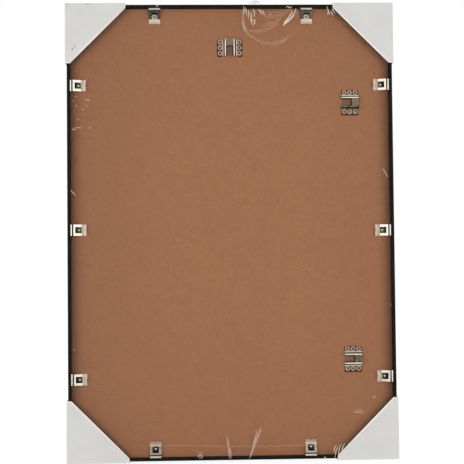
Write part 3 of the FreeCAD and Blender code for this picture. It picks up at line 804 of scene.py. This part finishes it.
def smooth_path(corners):
    """Points on a Catmull-Rom curve through the corners."""
    steps = SPAN_STEPS if len(corners) > 2 else SHORT_SPAN_STEPS
    padded = [2 * corners[0] - corners[1], *corners, 2 * corners[-1] - corners[-2]]
    path = []
    for index in range(1, len(padded) - 2):
        before, start, end, after = padded[index - 1:index + 3]
        for step in range(steps):
            t = step / steps
            path.append(
                0.5 * (
                    2 * start
                    + (end - before) * t
                    + (2 * before - 5 * start + 4 * end - after) * t ** 2
                    + (3 * start - before - 3 * end + after) * t ** 3
                )
            )
    path.append(corners[-1])
    return path


def add_ridge(points, faces, path, width, height, taper=True, rows=8):
    """Adds a closed half-round ridge along a path, lying on a surface that faces back."""
    first = len(points)
    last = len(path) - 1
    for index, place in enumerate(path):
        ahead = path[min(index + 1, last)] - path[max(index - 1, 0)]
        across = ahead.cross(BACK).normalized()
        share = sin(pi * (index + RIDGE_END) / (last + 2 * RIDGE_END)) ** RIDGE_TAPER if taper else 1.0
        for step in range(rows):
            angle = 2 * pi * step / rows
            lift = max(sin(angle), RIDGE_FLOOR) * height * share
            points.append(place + across * cos(angle) * width * share / 2 + BACK * lift)
    for index in range(last):
        here, there = first + index * rows, first + (index + 1) * rows
        for step in range(rows):
            side = (step + 1) % rows
            faces.append((here + step, here + side, there + side, there + step))
    faces.append(tuple(first + step for step in range(rows)))
    faces.append(tuple(first + last * rows + step for step in reversed(range(rows))))


def make_cut_edges(node):
    """The cut edges of a card protector's back panel, painted pale as a highlight, along its diagonal and its two
    short ends.
    """
    low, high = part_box(node)
    centre = (low + high) / 2
    x_sign = 1 if centre.x > MIDDLE.x else -1
    z_sign = 1 if centre.z > MIDDLE.z else -1
    corner = Vector((FRAME_HIGH.x if x_sign > 0 else FRAME_LOW.x, high.y, FRAME_HIGH.z if z_sign > 0 else FRAME_LOW.z))
    inset = CUT_EDGE_WIDTH / 2

    def place(from_side, from_top):
        return corner - Vector((x_sign * from_side, 0, z_sign * from_top))

    outer_x = abs(corner.x - (high.x if x_sign > 0 else low.x))
    outer_z = abs(corner.z - (high.z if z_sign > 0 else low.z))
    leg = high.x - low.x - outer_x
    lines = [
        [place(leg - inset, -outer_z + inset), place(leg - inset, CARD_STUB - inset)],
        [place(leg - inset, CARD_STUB - inset), place(CARD_STUB - inset, leg - inset)],
        [place(CARD_STUB - inset, leg - inset), place(-outer_x + inset, leg - inset)],
    ]
    points, faces = [], []
    for start, end in lines:
        add_ridge(points, faces, [start, end], CUT_EDGE_WIDTH, CUT_EDGE_HEIGHT, taper=False)
    new_piece(f"{node}_cut_edges", points, faces, "cut_card", node, "protector_card")
    # A dark strip of painted shadow along the diagonal, under the card's panel.
    outward = Vector((-x_sign, 0, -z_sign)).normalized() * (inset + EDGE_SHADOW_PROUD)
    depth = BACK * (high.y - EDGE_SHADOW_DEPTH)
    start, end = [Vector((point.x, 0, point.z)) + outward + depth for point in lines[1]]
    points, faces = [], []
    add_ridge(points, faces, [start, end], EDGE_SHADOW_WIDTH, EDGE_SHADOW_THICKNESS, taper=False)
    new_piece(f"{node}_edge_shadow_strip", points, faces, "card_edge_shadow", node, "protector_card")


def skin_point(x, z):
    """A point of the shrink film over the back, drawn in a little between the rails."""
    inside = min(1, max(0, min(FRAME_HIGH.x - abs(x), FRAME_HIGH.z - z, z - FRAME_LOW.z) / FILM_RUN))
    wave = sin(x * FILM_WAVES[0] + 2 * z) * sin(z * FILM_WAVES[1] - 3 * x)
    return Vector((x, RIM + FILM_GAP + FILM_SAG * inside * wave, z))


def make_film():
    """The clear shrink film round the whole frame, inside the card protectors."""
    columns, rows = FILM_CELLS
    low = FRAME_LOW - Vector((FILM_GAP, 0, FILM_GAP))
    span = FRAME_HIGH - FRAME_LOW + Vector((2 * FILM_GAP, 0, 2 * FILM_GAP))
    points, faces = [], []
    for row in range(rows + 1):
        for column in range(columns + 1):
            points.append(skin_point(low.x + span.x * column / columns, low.z + span.z * row / rows))
    for row in range(rows):
        for column in range(columns):
            start = row * (columns + 1) + column
            faces.append((start, start + columns + 1, start + columns + 2, start + 1))
    front = len(points)
    corners = [(0, 0), (columns, 0), (columns, rows), (0, rows)]
    for column, row in corners:
        points.append(Vector((low.x + span.x * column / columns, FRONT - FILM_GAP, low.z + span.z * row / rows)))
    for index, (start, end) in enumerate(zip(corners, corners[1:] + corners[:1])):
        steps = max(abs(end[0] - start[0]), abs(end[1] - start[1]))
        along = [
            (start[1] + (end[1] - start[1]) * step // steps) * (columns + 1)
            + start[0] + (end[0] - start[0]) * step // steps
            for step in range(steps + 1)
        ]
        faces.append((*along, front + (index + 1) % 4, front + index))
    faces.append((front, front + 1, front + 2, front + 3))
    new_piece("shrink_film", points, faces, "film", "frame", smooth=False)


def make_creases():
    """Creases of the film with painted glints and sheen, placed by the photograph's pixels and lying on the film."""
    for name, (material, width, height, lines) in CREASES.items():
        points, faces = [], []
        for pixels in lines:
            corners = [from_pixel(pixel, RIM + FILM_GAP) for pixel in pixels]
            add_ridge(points, faces, smooth_path(corners), width, height)
        new_piece(f"film_{name}", points, faces, material, "frame")


def make_card_marks():
    """Small dark marks on the face of the card at the photograph's upper left: painted shade of wrinkles in the film
    over it.
    """
    points, faces = [], []
    for pixels in CARD_MARKS:
        corners = [from_pixel(pixel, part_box(MARKED_CARD)[1].y) for pixel in pixels]
        add_ridge(points, faces, smooth_path(corners), CARD_MARK_WIDTH, CARD_MARK_HEIGHT)
    new_piece("card_film_wrinkle_shade", points, faces, "shaded_crease", MARKED_CARD, "protector_card")


def camera_turn():
    """Rows are the camera's right, up and back in the row frame."""
    turn = FACING_THE_BACK
    for axis in ("X", "Y", "Z"):
        turn = Matrix.Rotation(radians(CAMERA_TURNS[axis]), 3, axis) @ turn
    return turn


def from_pixel(pixel, depth):
    """Where the photograph's pixel meets the plane y = depth."""
    half = IMAGE_SIDE / 2
    ray = Vector(((pixel[0] - half) / FOCAL_PIXELS, (half - pixel[1]) / FOCAL_PIXELS, -1))
    ray = camera_turn().transposed() @ ray
    return CAMERA_PLACE + ray * (depth - CAMERA_PLACE.y) / ray.y


def make_camera():
    data = bpy.data.cameras.new("camera")
    data.sensor_width = SENSOR_WIDTH
    data.lens = FOCAL_PIXELS / IMAGE_SIDE * SENSOR_WIDTH
    camera = bpy.data.objects.new("camera", data)
    bpy.context.scene.collection.objects.link(camera)
    camera.matrix_world = Matrix.Translation(CAMERA_PLACE) @ camera_turn().transposed().to_4x4()
    bpy.context.scene.camera = camera


def make_lamp(name, inner, outer, height, radiance):
    """A soft box standing between two points of the plan, facing the frame's middle."""
    data = bpy.data.lights.new(name, "AREA")
    data.shape = "RECTANGLE"
    data.size = (outer - inner).length
    data.size_y = height
    data.energy = radiance * pi * data.size * data.size_y
    lamp = bpy.data.objects.new(name, data)
    bpy.context.scene.collection.objects.link(lamp)
    lamp.location = (inner + outer) / 2
    along = (outer - inner).normalized()
    back = along.cross(FRAME_UP).normalized()
    if back.dot(MIDDLE - lamp.location) > 0:
        back = -back
    upright = back.cross(along)
    lamp.matrix_world = Matrix.Translation(lamp.location) @ Matrix((along, upright, back)).transposed().to_4x4()


def make_lights():
    for name, (inner, outer, radiance) in SOFT_BOXES.items():
        for word, sign in (("left", 1), ("right", -1)):
            ends = [Vector((sign * x, y, LAMP_MIDDLE)) for x, y in (inner, outer)]
            make_lamp(f"soft_box_{name}_{word}", *ends, LAMP_HEIGHT, radiance)


def is_background(tree, depth):
    """1 for camera and transmission rays, and for mirrored rays that leave behind the frame, else 0."""
    path = tree.nodes.new("ShaderNodeLightPath")
    mirrored = math_node(tree, "MULTIPLY", path.outputs["Is Glossy Ray"], math_node(tree, "LESS_THAN", depth, 0.0))
    seen = math_node(tree, "MAXIMUM", mirrored, path.outputs["Is Camera Ray"])
    return math_node(tree, "MAXIMUM", seen, path.outputs["Is Transmission Ray"])


def make_world():
    """White where the camera looks past the object, and a soft studio for what lights and mirrors in it."""
    world = bpy.data.worlds.new("studio")
    bpy.context.scene.world = world
    world.use_nodes = True
    tree = world.node_tree
    background = tree.nodes["Background"]
    direction = tree.nodes.new("ShaderNodeTexCoord").outputs["Generated"]
    split = tree.nodes.new("ShaderNodeSeparateXYZ")
    tree.links.new(direction, split.inputs[0])
    studio = ramp_node(tree, split.outputs["Z"], *STUDIO_LEVELS, *STUDIO_HEIGHTS)
    level = tree.nodes.new("ShaderNodeMix")
    tree.links.new(is_background(tree, split.outputs["Y"]), level.inputs["Factor"])
    tree.links.new(studio, level.inputs["A"])
    level.inputs["B"].default_value = 1.0
    tree.links.new(level.outputs["Result"], background.inputs["Strength"])
    background.inputs["Color"].default_value = (1, 1, 1, 1)


def make_floor():
    """A pale sweep on a darker floor. It fades to the white background and keeps a soft shadow."""
    mesh = bpy.data.meshes.new("floor")
    height = CAD_BOX[0].z - FLOOR_DROP
    angles = [2 * pi * step / FLOOR_SIDES for step in range(FLOOR_SIDES)]
    ring = [(FLOOR_RADIUS * cos(angle), FLOOR_RADIUS * sin(angle), height) for angle in angles]
    mesh.from_pydata(ring, [], [tuple(range(FLOOR_SIDES))])
    floor = bpy.data.objects.new("floor", mesh)
    bpy.context.scene.collection.objects.link(floor)
    material = bpy.data.materials.new("pale_floor")
    material.use_nodes = True
    tree = material.node_tree
    output = tree.nodes["Material Output"]
    tree.nodes.remove(tree.nodes["Principled BSDF"])
    place = tree.nodes.new("ShaderNodeNewGeometry").outputs["Position"]
    split = tree.nodes.new("ShaderNodeSeparateXYZ")
    tree.links.new(place, split.inputs[0])
    aside = math_node(tree, "ABSOLUTE", split.outputs["X"])
    beside = math_node(tree, "MAXIMUM", math_node(tree, "SUBTRACT", aside, FRAME_HIGH.x), 0.0)
    squares = [math_node(tree, "MULTIPLY", value, value) for value in (beside, split.outputs["Y"])]
    away = math_node(tree, "SQRT", math_node(tree, "ADD", *squares))
    seen = is_background(tree, split.outputs["Y"])
    sweep = ramp_node(tree, away, *SWEEP_COLOURS, *SWEEP_REACH)
    sweep = math_node(tree, "MAXIMUM", sweep, ramp_node(tree, aside, *reversed(SWEEP_COLOURS), *RUNNER_EDGES))
    colour = math_node(tree, "MAXIMUM", sweep, math_node(tree, "MULTIPLY", seen, FLOOR_SEEN))
    matt = tree.nodes.new("ShaderNodeBsdfDiffuse")
    tree.links.new(colour, matt.inputs["Color"])
    share = math_node(tree, "MULTIPLY", seen, ramp_node(tree, away, *SHADOW_SHARES, *SHADOW_REACH))
    glow = tree.nodes.new("ShaderNodeEmission")
    glow.inputs["Strength"].default_value = FLOOR_GLOW
    blend = tree.nodes.new("ShaderNodeMixShader")
    tree.links.new(share, blend.inputs[0])
    tree.links.new(matt.outputs[0], blend.inputs[1])
    tree.links.new(glow.outputs[0], blend.inputs[2])
    tree.links.new(blend.outputs[0], output.inputs["Surface"])
    mesh.materials.append(material)


paint_solids()
for hanger, mount_name in HANGERS.items():
    make_eyelets(hanger, MOUNTS[mount_name])
    make_hanger_marks(hanger, MOUNTS[mount_name])
for clip in CLIPS:
    make_clip_details(clip)
    make_window_shadow(clip)
for protector in PROTECTORS:
    make_cut_edges(protector)
make_film()
make_creases()
make_card_marks()
make_camera()
make_lights()
make_world()
make_floor()
bpy.context.scene.view_settings.view_transform = "Standard"
